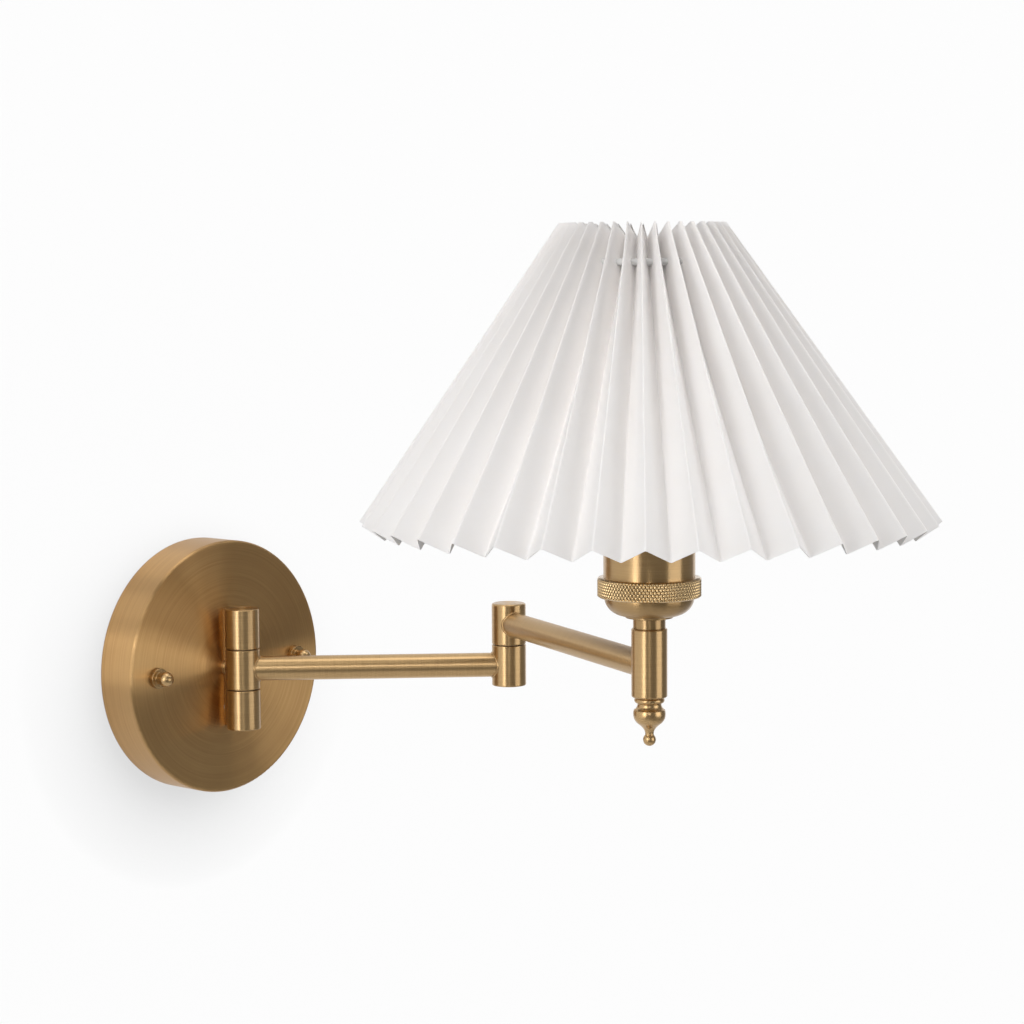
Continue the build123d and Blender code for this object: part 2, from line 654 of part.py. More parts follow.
# How far inwards the paper's inner face lies, for its thickness to be true across a panel at one rim
def inward_step(ridge, valley, drop):
    along_ridge = Vector(shade_bottom_radius - shade_top_radius, 0, -shade_height).normalized()
    across = Vector(valley * cos(radians(half_pleat)) - ridge, valley * sin(radians(half_pleat)), -drop)
    return paper_thickness / abs(along_ridge.cross(across).normalized().X)


bottom_step = inward_step(shade_bottom_radius, valley_bottom_radius, rim_slope * pleat_bottom_depth)
top_step = inward_step(shade_top_radius, valley_top_radius, rim_slope * pleat_top_depth)


def step_at(z):
    return bottom_step + (top_step - bottom_step) * (z - valley_low) / (shade_top - valley_low)


# The zigzag outline of the folds at a height, drawn in by a step
def zigzag(z, step):
    points = []
    for fold in range(2 * pleat_count):
        radius = (valley_radius(z) if fold % 2 else ridge_radius(z)) - step
        angle = radians(pleat_bearing - 90 + fold * half_pleat)
        points.append((stem_spot[0] + radius * cos(angle), stem_spot[1] + radius * sin(angle), z))
    return make_face(Polyline(*points, close=True))


# A ring-shaped band between the two rim cones
def rim_height(z, radius, at):
    return z + rim_slope * (at - radius)


band_radius = shade_bottom_radius + trim_margin
band = turned(Polyline(
    (0, rim_height(shade_low, shade_bottom_radius, 0)),
    (band_radius, rim_height(shade_low, shade_bottom_radius, band_radius)),
    (band_radius, rim_height(shade_top, shade_top_radius, band_radius)),
    (0, rim_height(shade_top, shade_top_radius, 0)),
    (0, rim_height(shade_low, shade_bottom_radius, 0))), stem_spot)

# Shade: the space between two zigzag cones, trimmed to the rims and pierced for the gather cord
trim_low = valley_low - trim_margin
trim_top = shade_top + trim_margin
outer_cone = loft([zigzag(trim_low, 0), zigzag(trim_top, 0)], ruled=True)
inner_cone = loft([zigzag(trim_low, step_at(trim_low)), zigzag(trim_top, step_at(trim_top))], ruled=True)
gather_place = Pos(stem_spot[0], stem_spot[1], shade_top - gather_drop)
shade = (outer_cone - inner_cone) & band
pieces["shade"] = shade - gather_place * Torus(gather_radius, gather_cord_radius + seat_clearance)
pieces["gather_cord"] = gather_place * Torus(gather_radius, gather_cord_radius)

# Wire carrier: a fitter ring, three wires and the ring that the inner folds rest on
carrier_z = shade_top - carrier_ring_drop
fold_run = Vector(valley_bottom_radius - valley_top_radius, 0, valley_top - valley_low)
fold_lean = fold_run.length / fold_run.Z
carrier_inset = (carrier_wire_radius + seat_clearance) * fold_lean
carrier_radius = valley_radius(carrier_z) - step_at(carrier_z) - carrier_inset
fitter_bore = shell_radius + seat_clearance
wire_foot_radius = shade_ring_radius + seat_clearance + carrier_wire_radius
carrier = tube(wire_foot_radius + carrier_wire_radius, fitter_bore, fitter_low, fitter_top, stem_spot)
carrier += Pos(stem_spot[0], stem_spot[1], carrier_z) * Torus(carrier_radius, carrier_wire_radius)
for number in range(carrier_wire_count):
    wire_bearing = number * 360.0 / carrier_wire_count
    foot = spot_along(stem_spot, wire_foot_radius, wire_bearing)
    head = spot_along(stem_spot, carrier_radius, wire_bearing)
    run = Vector(head[0], head[1], carrier_z) - Vector(foot[0], foot[1], fitter_top)
    wire = Plane(origin=(foot[0], foot[1], fitter_top), z_dir=run) * rod(carrier_wire_radius, 0, run.length)
    carrier += wire
pieces["shade_carrier"] = carrier

# Leads: each ends just short of the next at a hinge's axis
block_lead_x = -pole_pitch
canopy_lead_end = first_lead_z - lead_radius - lead_gap
pieces["lead_canopy"] = lead([
    (block_lead_x, -barrel_depth, block_low - lead_gap),
    (block_lead_x, -barrel_depth - 1.0, -9.0),
    (0, -barrel_depth - 3.5, port_z),
    (0, -hinge_depth, port_z),
    (0, -hinge_depth, canopy_lead_end),
], [12.0, 7.0, lead_bend])
bush_tail = canopy_inside - bush_flange_thickness
bush = rod(bush_radius, canopy_inside, canopy_depth) + rod(bush_flange_radius, bush_tail, canopy_inside)
bush -= rod(port_hole, bush_tail, canopy_depth)
pieces["lead_bush"] = wall_plane(0, port_z) * bush
pieces["lead_first_arm"] = side_hole(lead_radius, shoulder, first_lead_z, first_arm_bearing, first_arm_length)
pieces["lead_second_arm"] = lead([
    (elbow[0], elbow[1], first_lead_z + lead_radius + lead_gap),
    (elbow[0], elbow[1], second_lead_z),
    (stem_spot[0], stem_spot[1], second_lead_z),
    (stem_spot[0], stem_spot[1], cup_rim - lead_gap),
], lead_bend)

os.makedirs("parts", exist_ok=True)
for name, piece in pieces.items():
    export_step(piece, f"parts/{name}.step")
print(len(pieces), "pieces written")
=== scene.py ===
import math

import bpy
from mathutils import Matrix, Vector


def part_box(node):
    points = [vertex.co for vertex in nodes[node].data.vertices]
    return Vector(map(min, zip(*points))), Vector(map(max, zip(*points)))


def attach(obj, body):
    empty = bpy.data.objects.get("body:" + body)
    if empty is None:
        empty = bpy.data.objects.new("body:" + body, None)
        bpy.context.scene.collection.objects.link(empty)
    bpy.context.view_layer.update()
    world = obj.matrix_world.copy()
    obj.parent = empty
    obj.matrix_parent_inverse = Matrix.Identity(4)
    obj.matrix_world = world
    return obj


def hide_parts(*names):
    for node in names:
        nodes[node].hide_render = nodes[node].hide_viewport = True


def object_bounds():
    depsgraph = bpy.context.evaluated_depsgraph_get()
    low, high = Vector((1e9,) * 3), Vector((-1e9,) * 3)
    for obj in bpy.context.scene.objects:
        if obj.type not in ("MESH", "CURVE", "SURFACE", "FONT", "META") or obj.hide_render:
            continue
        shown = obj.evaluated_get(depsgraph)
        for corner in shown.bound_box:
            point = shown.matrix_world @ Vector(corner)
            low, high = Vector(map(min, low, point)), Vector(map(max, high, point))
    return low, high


# Swing arm wall lamp: brushed brass arms on a round canopy, and a pleated white shade. Lengths are metres.

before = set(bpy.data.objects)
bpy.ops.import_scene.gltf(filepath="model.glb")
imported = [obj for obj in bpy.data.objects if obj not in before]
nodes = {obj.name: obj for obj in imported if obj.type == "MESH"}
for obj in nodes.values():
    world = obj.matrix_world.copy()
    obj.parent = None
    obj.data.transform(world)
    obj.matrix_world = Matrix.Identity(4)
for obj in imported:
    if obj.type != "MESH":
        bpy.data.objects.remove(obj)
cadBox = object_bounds()
bpy.ops.object.select_all(action="DESELECT")
print("frame loaded:", len(nodes), "solids")

mm = 0.001
hair = 0.01 * mm   # closer than this counts as touching


def middleOf(node):
    low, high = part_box(node)
    return (low + high) / 2


shoulderAxis = middleOf("shoulder_plug")
elbowAxis = middleOf("elbow_plug")
stemAxis = middleOf("knurled_ring")
upright = Vector((0, 0, 1))
offWall = Vector((0, -1, 0))


# ways of picking and finishing that every piece shares

def pickEdges(piece, test):
    bpy.ops.object.mode_set(mode="OBJECT")
    mesh = piece.data
    mesh.polygons.foreach_set("select", [False] * len(mesh.polygons))
    mesh.vertices.foreach_set("select", [False] * len(mesh.vertices))
    ends = [(mesh.vertices[e.vertices[0]].co, mesh.vertices[e.vertices[1]].co) for e in mesh.edges]
    mesh.edges.foreach_set("select", [bool(test(a, b)) for a, b in ends])
    bpy.context.tool_settings.mesh_select_mode = (False, True, False)
    bpy.ops.object.mode_set(mode="EDIT")


def settle(piece, name, smoothAngle):
    # place goes into the mesh, so the object sits at the origin as the solids do
    bpy.ops.object.mode_set(mode="OBJECT")
    bpy.ops.object.select_all(action="DESELECT")
    piece.select_set(True)
    bpy.context.view_layer.objects.active = piece
    bpy.ops.object.transform_apply(location=True, rotation=True, scale=True)
    bpy.ops.object.shade_smooth_by_angle(angle=math.radians(smoothAngle))
    piece.name = name
    piece.data.name = name
    piece.select_set(False)
    return piece


def dress(piece, material, body, replaced):
    piece.data.materials.clear()
    piece.data.materials.append(material)
    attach(piece, body)
    if replaced:
        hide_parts(replaced)


# materials

def hexColor(code):
    parts = [int(code[i:i + 2], 16) / 255 for i in (1, 3, 5)]
    return tuple(c / 12.92 if c <= 0.04045 else ((c + 0.055) / 1.055) ** 2.4 for c in parts) + (1.0,)


def addNode(tree, kind, settings=None, links=None):
    node = tree.nodes.new(kind)
    for key, value in (settings or {}).items():
        if isinstance(key, str) and hasattr(node, key):
            setattr(node, key, value)
        else:
            node.inputs[key].default_value = value
    for key, source in (links or {}).items():
        tree.links.new(source, node.inputs[key])
    return node


def startMaterial(name):
    material = bpy.data.materials.new(name)
    material.use_nodes = True
    tree = material.node_tree
    return material, tree, tree.nodes["Principled BSDF"]


brassLook = {
    "light": "#c8a777",
    "deep": "#b49365",
    "roughness": 0.32,
    "roughSpread": 0.06,
    "stretch": 0.9,           # how far reflections smear across the brush lines
    "lineWidth": 0.45 * mm,   # real brush lines are about 0.1 mm, drawn coarser so that they show
    "lineHeight": 0.002 * mm,
    "lineTurns": 0.8,         # how often a line breaks off round its circle
    "patch": 14 * mm,         # faint uneven lacquer
    "patchShare": 0.35,
    "edgeRound": 0.8 * mm,
    "lacquer": 0.25,
    "lacquerRough": 0.12,
}
noiseSpan = {"From Min": 0.3, "From Max": 0.7}   # noise seldom leaves this span


def brushedBrass(name, centre, axis, look=brassLook, paired=False):
    # brass, brushed round its axis and lacquered: the metal smears reflections across the brush lines,
    # and the lacquer lays a pale gleam over the brightest of them
    # paired = two alike pieces, either side of x = 0
    material, tree, shader = startMaterial(name)
    place = addNode(tree, "ShaderNodeTexCoord")
    spot = place.outputs["Object"]
    if paired:
        spot = addNode(tree, "ShaderNodeVectorMath", {"operation": "ABSOLUTE"}, {0: spot}).outputs[0]
    local = addNode(tree, "ShaderNodeVectorMath", {"operation": "SUBTRACT", 1: centre}, {0: spot})
    along = addNode(tree, "ShaderNodeVectorMath", {"operation": "DOT_PRODUCT", 1: axis},
                    {0: local.outputs[0]})
    alongVector = addNode(tree, "ShaderNodeVectorMath", {"operation": "SCALE", 0: axis},
                          {"Scale": along.outputs["Value"]})
    spoke = addNode(tree, "ShaderNodeVectorMath", {"operation": "SUBTRACT"},
                    {0: local.outputs[0], 1: alongVector.outputs[0]})
    reach = addNode(tree, "ShaderNodeVectorMath", {"operation": "LENGTH"}, {0: spoke.outputs[0]})
    outward = addNode(tree, "ShaderNodeVectorMath", {"operation": "NORMALIZE"}, {0: spoke.outputs[0]})
    smear = addNode(tree, "ShaderNodeVectorMath", {"operation": "ADD", 1: axis}, {0: outward.outputs[0]})
    around = addNode(tree, "ShaderNodeVectorMath", {"operation": "SCALE"}, {0: outward.outputs[0]})
    around.inputs["Scale"].default_value = look["lineTurns"]
    meridian = addNode(tree, "ShaderNodeMath", {"operation": "ADD"},
                       {0: along.outputs["Value"], 1: reach.outputs["Value"]})
    run = addNode(tree, "ShaderNodeMath", {"operation": "MULTIPLY", 1: 1 / look["lineWidth"]},
                  {0: meridian.outputs[0]})
    runVector = addNode(tree, "ShaderNodeVectorMath", {"operation": "SCALE", 0: axis},
                        {"Scale": run.outputs[0]})
    spotVector = addNode(tree, "ShaderNodeVectorMath", {"operation": "ADD"},
                         {0: around.outputs[0], 1: runVector.outputs[0]})
    lines = addNode(tree, "ShaderNodeTexNoise", {"Scale": 1.0, "Detail": 3.0, "Roughness": 0.6},
                    {"Vector": spotVector.outputs[0]})
    cloud = addNode(tree, "ShaderNodeTexNoise", {"Scale": 1 / look["patch"], "Detail": 2.0},
                    {"Vector": place.outputs["Object"]})
    spread = addNode(tree, "ShaderNodeMapRange", noiseSpan, {"Value": lines.outputs[0]})
    blendShare = addNode(tree, "ShaderNodeMix", {"data_type": "FLOAT", "Factor": look["patchShare"]},
                         {2: spread.outputs[0], 3: cloud.outputs[0]})
    color = addNode(tree, "ShaderNodeMix",
                    {"data_type": "RGBA", 6: hexColor(look["deep"]), 7: hexColor(look["light"])},
                    {0: blendShare.outputs[0]})
    rough = addNode(tree, "ShaderNodeMapRange",
                    {"To Min": look["roughness"] - look["roughSpread"] / 2,
                     "To Max": look["roughness"] + look["roughSpread"] / 2}, {"Value": spread.outputs[0]})
    rounded = addNode(tree, "ShaderNodeBevel", {"samples": 4, "Radius": look["edgeRound"]})
    bump = addNode(tree, "ShaderNodeBump", {"Strength": 1.0, "Distance": look["lineHeight"]},
                   {"Height": lines.outputs[0], "Normal": rounded.outputs[0]})
    turned = addNode(tree, "ShaderNodeVectorTransform",
                     {"vector_type": "VECTOR", "convert_from": "OBJECT", "convert_to": "WORLD"},
                     {0: smear.outputs[0]})
    tree.links.new(color.outputs[2], shader.inputs["Base Color"])
    tree.links.new(rough.outputs[0], shader.inputs["Roughness"])
    tree.links.new(bump.outputs[0], shader.inputs["Normal"])
    tree.links.new(turned.outputs[0], shader.inputs["Tangent"])
    tree.links.new(rounded.outputs[0], shader.inputs["Coat Normal"])
    shader.inputs["Metallic"].default_value = 1.0
    shader.inputs["Coat Weight"].default_value = look["lacquer"]
    shader.inputs["Coat Roughness"].default_value = look["lacquerRough"]
    shader.inputs["Anisotropic"].default_value = look["stretch"]
    return material


plainLook = {"mottle": 12 * mm, "roughSpread": 0.04}


def plainFinish(name, lightCode, deepCode, metallic, roughness, grain, grainHeight):
    # an even finish with faint mottling and a fine skin
    material, tree, shader = startMaterial(name)
    place = addNode(tree, "ShaderNodeTexCoord")
    mottle = addNode(tree, "ShaderNodeTexNoise", {"Scale": 1 / plainLook["mottle"], "Detail": 3.0},
                     {"Vector": place.outputs["Object"]})
    skin = addNode(tree, "ShaderNodeTexNoise", {"Scale": 1 / grain, "Detail": 2.0},
                   {"Vector": place.outputs["Object"]})
    color = addNode(tree, "ShaderNodeMix",
                    {"data_type": "RGBA", 6: hexColor(deepCode), 7: hexColor(lightCode)},
                    {0: mottle.outputs[0]})
    rough = addNode(tree, "ShaderNodeMapRange",
                    {**noiseSpan, "To Min": roughness - plainLook["roughSpread"],
                     "To Max": roughness + plainLook["roughSpread"]}, {"Value": skin.outputs[0]})
    bump = addNode(tree, "ShaderNodeBump", {"Strength": 1.0, "Distance": grainHeight},
                   {"Height": skin.outputs[0]})
    tree.links.new(color.outputs[2], shader.inputs["Base Color"])
    tree.links.new(rough.outputs[0], shader.inputs["Roughness"])
    tree.links.new(bump.outputs[0], shader.inputs["Normal"])
    shader.inputs["Metallic"].default_value = metallic
    return material


paperLook = {
    "light": "#f8f5f3",
    "deep": "#f2eeeb",
    "fibre": (0.7 * mm, 1.1 * mm),   # real fibres are about 0.2 mm, drawn coarser so that they show
    "fibreHeight": 0.02 * mm,
    "fibreStrength": 0.5,
    "cloud": (9 * mm, 30 * mm),
    "roughness": 0.85,
    "gloss": 0.25,
    "seep": 0.55,
    "seepTint": (1.0, 0.96, 0.9),
    "seepReach": 0.7 * mm,
}


def pleatPaper():
    # laminated shade paper: matt white, a fine fibre tooth, and light that seeps through the thin wall
    look = paperLook
    material, tree, shader = startMaterial("laminatedShadePaper")
    flat = addNode(tree, "ShaderNodeUVMap", {"uv_map": "flatSheet"})
    tooth = addNode(tree, "ShaderNodeMapping", {"Scale": (1 / look["fibre"][0], 1 / look["fibre"][1], 1.0)},
                    {"Vector": flat.outputs[0]})
    fibre = addNode(tree, "ShaderNodeTexNoise", {"Scale": 1.0, "Detail": 4.0, "Roughness": 0.65},
                    {"Vector": tooth.outputs[0]})
    cloudy = addNode(tree, "ShaderNodeMapping", {"Scale": (1 / look["cloud"][0], 1 / look["cloud"][1], 1.0)},
                     {"Vector": flat.outputs[0]})
    cloud = addNode(tree, "ShaderNodeTexNoise", {"Scale": 1.0, "Detail": 2.0}, {"Vector": cloudy.outputs[0]})
    color = addNode(tree, "ShaderNodeMix",
                    {"data_type": "RGBA", 6: hexColor(look["deep"]), 7: hexColor(look["light"])},
                    {0: cloud.outputs[0]})
    bump = addNode(tree, "ShaderNodeBump",
                   {"Strength": look["fibreStrength"], "Distance": look["fibreHeight"]},
                   {"Height": fibre.outputs[0]})
    tree.links.new(color.outputs[2], shader.inputs["Base Color"])
    tree.links.new(bump.outputs[0], shader.inputs["Normal"])
    shader.inputs["Roughness"].default_value = look["roughness"]
    shader.inputs["Specular IOR Level"].default_value = look["gloss"]
    shader.inputs["Subsurface Weight"].default_value = look["seep"]
    shader.inputs["Subsurface Radius"].default_value = look["seepTint"]
    shader.inputs["Subsurface Scale"].default_value = look["seepReach"]
    return material


glassLook = {"tint": "#f3f2ee", "etch": 0.4 * mm, "roughness": (0.38, 0.5), "ior": 1.5, "clear": 0.35,
             "milk": 0.4, "milkTint": (1.0, 1.0, 1.0), "milkReach": 1.5 * mm}


def frostedGlass():
    # acid-etched bulb glass: milky, light passes but no shape shows through it
    look = glassLook
    material, tree, shader = startMaterial("frostedBulbGlass")
    place = addNode(tree, "ShaderNodeTexCoord")
    etch = addNode(tree, "ShaderNodeTexNoise", {"Scale": 1 / look["etch"], "Detail": 2.0},
                   {"Vector": place.outputs["Object"]})
    rough = addNode(tree, "ShaderNodeMapRange",
                    {"To Min": look["roughness"][0], "To Max": look["roughness"][1]},
                    {"Value": etch.outputs[0]})
    tree.links.new(rough.outputs[0], shader.inputs["Roughness"])
    shader.inputs["Base Color"].default_value = hexColor(look["tint"])
    shader.inputs["IOR"].default_value = look["ior"]
    shader.inputs["Transmission Weight"].default_value = look["clear"]
    shader.inputs["Subsurface Weight"].default_value = look["milk"]
    shader.inputs["Subsurface Radius"].default_value = look["milkTint"]
    shader.inputs["Subsurface Scale"].default_value = look["milkReach"]
    return material


# the same brass as each piece was worked: faced on a lathe, turned, spun, or rolled bright; the cup's darker
# brass is painted shade and the knurl's lighter brass is painted light
brassCanopy = dict(brassLook, light="#cda670", deep="#b8905e", stretch=1.0, lineWidth=0.8 * mm,
                   lineHeight=0.0, edgeRound=1.5 * mm)
brassFinial = dict(brassLook, roughness=0.28, stretch=0.5)
brassNuts = dict(brassLook, roughness=0.28, stretch=0.0)
# painted shade: the cup and the collar are coloured a darker brass for the shadow under the shade and the
# dark that they reflect
brassCupPaintedShade = dict(brassLook, light="#b6966a", deep="#a38458")
# painted light: the knurl is coloured a lighter brass for the bright lit inside of the shade that its ridges
# reflect
brassKnurlPaintedLight = dict(brassLook, light="#e2c494", deep="#cdad7b", roughness=0.17, stretch=0.0,
                  lineHeight=0.0, edgeRound=0.03 * mm)
firstRun = (elbowAxis - shoulderAxis) * Vector((1, 1, 0))
secondRun = (stemAxis - elbowAxis) * Vector((1, 1, 0))
firstRun.normalize()
secondRun.normalize()
firstRoot = Vector((shoulderAxis.x, shoulderAxis.y, 0))
secondRoot = Vector((elbowAxis.x, elbowAxis.y, middleOf("second_arm_tube").z))
nutReach = 44.45 * mm   # from the canopy's centre to each cap nut

brassOf = {
    "canopy": brushedBrass("satinBrassCanopy", (0, 0, 0), offWall, look=brassCanopy),
    "shoulder": brushedBrass("satinBrassShoulder", shoulderAxis, upright),
    "elbow": brushedBrass("satinBrassElbow", elbowAxis, upright),
    "stem": brushedBrass("satinBrassStem", stemAxis, upright),
    "firstArm": brushedBrass("satinBrassFirstArm", firstRoot, firstRun),
    "secondArm": brushedBrass("satinBrassSecondArm", secondRoot, secondRun),
    "cup": brushedBrass("satinBrassCupPaintedShade", stemAxis, upright, look=brassCupPaintedShade),
    "knurl": brushedBrass("rolledBrassKnurlPaintedLight", stemAxis, upright, look=brassKnurlPaintedLight),
    "capNuts": brushedBrass("polishedBrassCapNuts", (nutReach, 0, 0), offWall, look=brassNuts, paired=True),
    "finial": brushedBrass("polishedBrassFinial", stemAxis, upright, look=brassFinial),
}
# barrel-plated steel: cool grey with a soft gleam
zincSteel = plainFinish("zincPlatedSteel", "#b9babb", "#a4a6a9", 1.0, 0.38, 1.2 * mm, 0.01 * mm)
# bare brass off the lathe: yellower and brighter than the lacquered pieces
plainBrass = plainFinish("machinedBrass", "#cfae6c", "#bb9857", 1.0, 0.3, 0.6 * mm, 0.005 * mm)
# unpainted moulded nylon: off-white and waxy
nylon = plainFinish("naturalNylon", "#dcdad2", "#d0cec6", 0.0, 0.5, 0.5 * mm, 0.01 * mm)
# moulded polyamide: white with a low sheen
terminalPlastic = plainFinish("whitePolyamide", "#dfdfdb", "#d5d5d0", 0.0, 0.42, 0.6 * mm, 0.01 * mm)
# extruded PVC: cream and dull
leadJacket = plainFinish("creamPvcJacket", "#c9c4b6", "#bdb7a8", 0.0, 0.5, 0.5 * mm, 0.01 * mm)
# fired and glazed: sharp highlights on a warm white
glazedCeramic = plainFinish("glazedSteatite", "#e2e0d8", "#d9d6cc", 0.0, 0.18, 2.0 * mm, 0.01 * mm)
# dipped enamel on wire: smooth white with a small gloss
whiteEnamel = plainFinish("whiteEnamelledWire", "#e6e6e2", "#dcdcd7", 0.0, 0.3, 1.0 * mm, 0.008 * mm)
# spun cotton: matt, with a fine fuzz
cottonCord = plainFinish("cottonCord", "#dfdfde", "#c8c8c6", 0.0, 0.85, 0.35 * mm, 0.04 * mm)
shadePaper = pleatPaper()
bulbGlass = frostedGlass()

dressing = {
    brassOf["canopy"]: ["canopy", "hinge_yoke"],
    brassOf["shoulder"]: ["upper_knuckle", "lower_knuckle", "shoulder_knuckle", "shoulder_plug"],
    brassOf["elbow"]: ["elbow_lower_knuckle", "elbow_upper_knuckle", "elbow_plug"],
    brassOf["stem"]: ["stem", "socket_shell", "shade_rings"],
    brassOf["cup"]: ["neck_collar", "socket_cup"],
    brassOf["knurl"]: ["knurled_ring"],
    brassOf["firstArm"]: ["first_arm_tube"],
    brassOf["secondArm"]: ["second_arm_tube"],
    brassOf["capNuts"]: ["cap_nuts"],
    brassOf["finial"]: ["finial"],
    zincSteel: ["wall_bracket", "bracket_studs", "stud_nuts", "earth_screw", "terminal_screws",
                "terminal_fixing_screw", "yoke_washer", "yoke_nut", "shoulder_stop_pin", "shoulder_pin",
                "elbow_stop_pin", "elbow_pin", "elbow_clip", "bulb_cap"],
    plainBrass: ["terminal_barrels", "screw_shell", "centre_contact", "stem_nipple", "nipple_nut"],
    nylon: ["shoulder_washers", "elbow_washers", "lead_bush"],
    terminalPlastic: ["terminal_block"],
    leadJacket: ["lead_canopy", "lead_first_arm", "lead_second_arm"],
    glazedCeramic: ["lampholder_body"],
    bulbGlass: ["bulb_globe"],
    whiteEnamel: ["shade_carrier"],
    shadePaper: ["shade"],
    cottonCord: ["gather_cord"],
}
for material, names in dressing.items():
    for name in names:
        nodes[name].data.materials.clear()
        nodes[name].data.materials.append(material)
print("materials:", len(dressing), "finishes on", len(nodes), "solids")


# pleated shade: a flat sheet, folded round the cone

shadeCut = {
    "pleats": 38,
    "firstRidge": -53.0,          # bearing of one ridge, from off the wall towards +X
    "ridgeLow": (122.2 * mm, 82.65 * mm),
    "ridgeTop": (35.3 * mm, 206.85 * mm),
    "valleyLow": (114.2 * mm, 77.05 * mm),
    "valleyTop": (25.0 * mm, 199.64 * mm),
    "paper": 0.32 * mm,
    "foldShare": 0.06,            # how much of a panel bends at each of its folds
    "steps": (0.0, 0.03, 0.06, 0.12, 0.5, 0.88, 0.94, 0.97),
    "rows": 26,
    "flatWidth": 1.01,            # metres of paper that the fibre pattern is laid out on
    "lean": (-1.69 * mm, 2.18 * mm),   # how far the top hangs out of true
}


def leanAt(z):
    share = (z - shadeCut["ridgeLow"][1]) / (shadeCut["ridgeTop"][1] - shadeCut["ridgeLow"][1])
    return Vector((shadeCut["lean"][0] * share, shadeCut["lean"][1] * share, 0))


def foldShape(share):
    # a straight panel whose two ends round into the folds
    soft = shadeCut["foldShare"]
    if share < soft:
        return share * share / (2 * soft) + soft / 2
    if share > 1 - soft:
        return 1 - foldShape(1 - share)
    return share


def foldedPoint(panel, share, rise, inset):
    # panel counts half pleats; odd panels run back from valley to ridge
    if panel % 2:
        share = 1 - share
    half = math.pi / shadeCut["pleats"]
    ridgeAngle = math.radians(shadeCut["firstRidge"] - 90) + (panel + panel % 2) * half
    side = -1 if panel % 2 else 1
    ridge = Vector(shadeCut["ridgeLow"]).lerp(Vector(shadeCut["ridgeTop"]), rise)
    valley = Vector(shadeCut["valleyLow"]).lerp(Vector(shadeCut["valleyTop"]), rise)
    ridgePoint = Vector((ridge.x, 0, ridge.y))
    valleyPoint = Vector((valley.x * math.cos(half), side * valley.x * math.sin(half), valley.y))
    bent = foldShape(share)
    point = ridgePoint.lerp(valleyPoint, share)
    push = (valleyPoint - ridgePoint).x * (bent - share)
    pushAngle = 0 if share < 0.5 else side * half
    radial = push - inset
    point += Vector((radial * math.cos(pushAngle), radial * math.sin(pushAngle), 0))
    point.z += (valleyPoint.z - ridgePoint.z) * (bent - share)
    spun = Matrix.Rotation(ridgeAngle, 3, "Z") @ point
    return spun + Vector((stemAxis.x, stemAxis.y, 0)) + leanAt(spun.z)


def insetAt(rise):
    # how far inwards the inner face lies, for the paper to be equally thick across a panel
    half = math.pi / shadeCut["pleats"]
    ridge = Vector(shadeCut["ridgeLow"]).lerp(Vector(shadeCut["ridgeTop"]), rise)
    valley = Vector(shadeCut["valleyLow"]).lerp(Vector(shadeCut["valleyTop"]), rise)
    fold = Vector((shadeCut["ridgeLow"][0] - shadeCut["ridgeTop"][0], 0,
                   shadeCut["ridgeLow"][1] - shadeCut["ridgeTop"][1]))
    across = Vector((valley.x * math.cos(half) - ridge.x, valley.x * math.sin(half), valley.y - ridge.y))
    return shadeCut["paper"] / abs(fold.cross(across).normalized().x)


def makeShade():
    panels = 2 * shadeCut["pleats"]
    steps = shadeCut["steps"]
    columns = panels * len(steps)
    bpy.ops.mesh.primitive_grid_add(x_subdivisions=columns, y_subdivisions=shadeCut["rows"], size=2)
    sheet = bpy.context.object
    mesh = sheet.data
    mesh.uv_layers[0].name = "flatSheet"
    length = (Vector(shadeCut["ridgeTop"]) - Vector(shadeCut["ridgeLow"])).length
    for loop in mesh.uv_layers[0].data:
        loop.uv = (loop.uv[0] * shadeCut["flatWidth"], loop.uv[1] * length)   # metres of flat sheet
    spots = []
    for v in mesh.vertices:
        column = round((v.co.x + 1) / 2 * columns)
        spots.append((column, (v.co.y + 1) / 2))
    for v, (column, rise) in zip(mesh.vertices, spots):
        panel, step = divmod(min(column, columns - 1), len(steps))
        share = steps[step] if column < columns else 1.0
        v.co = foldedPoint(panel, share, rise, 0)
    bpy.ops.object.mode_set(mode="EDIT")
    bpy.ops.mesh.select_all(action="SELECT")
    bpy.ops.mesh.duplicate()
    bpy.ops.object.mode_set(mode="OBJECT")
    inner = [v for v in mesh.vertices if v.select]
    for v, (column, rise) in zip(inner, spots):
        panel, step = divmod(min(column, columns - 1), len(steps))
        share = steps[step] if column < columns else 1.0
        v.co = foldedPoint(panel, share, rise, insetAt(rise))
    bpy.ops.object.mode_set(mode="EDIT")
    bpy.ops.mesh.flip_normals()
    bpy.ops.mesh.select_all(action="SELECT")
    bpy.ops.mesh.remove_doubles(threshold=hair)
    # close both rims between the outer and the inner sheet
    midHeight = (shadeCut["ridgeLow"][1] + shadeCut["ridgeTop"][1]) / 2
    for upper in (False, True):
        bpy.context.tool_settings.mesh_select_mode = (False, True, False)
        bpy.ops.mesh.select_all(action="DESELECT")
        bpy.ops.mesh.select_non_manifold(extend=False, use_wire=False, use_boundary=True,
                                         use_multi_face=False, use_non_contiguous=False, use_verts=False)
        bpy.ops.object.mode_set(mode="OBJECT")
        rim = [e.select and (mesh.vertices[e.vertices[0]].co.z > midHeight) == upper for e in mesh.edges]
        mesh.vertices.foreach_set("select", [False] * len(mesh.vertices))
        mesh.edges.foreach_set("select", rim)
        bpy.ops.object.mode_set(mode="EDIT")
        bpy.ops.mesh.bridge_edge_loops()
    bpy.ops.mesh.select_all(action="SELECT")
    bpy.ops.mesh.normals_make_consistent(inside=False)
    return settle(sheet, "pleatedShade", smoothAngle=50)


pleatedShade = makeShade()
dress(pleatedShade, shadePaper, "shade_group", "shade")
print("shade:", len(pleatedShade.data.polygons), "faces")


# gather cord: three cotton strands laid up in a ring through the folds

cordLay = {"radius": 36.0 * mm, "thick": 1.6 * mm, "height": 190.25 * mm, "strands": 3, "turns": 24,
           "around": 480, "section": 18, "groove": 0.3, "grooveEdge": 1.5}


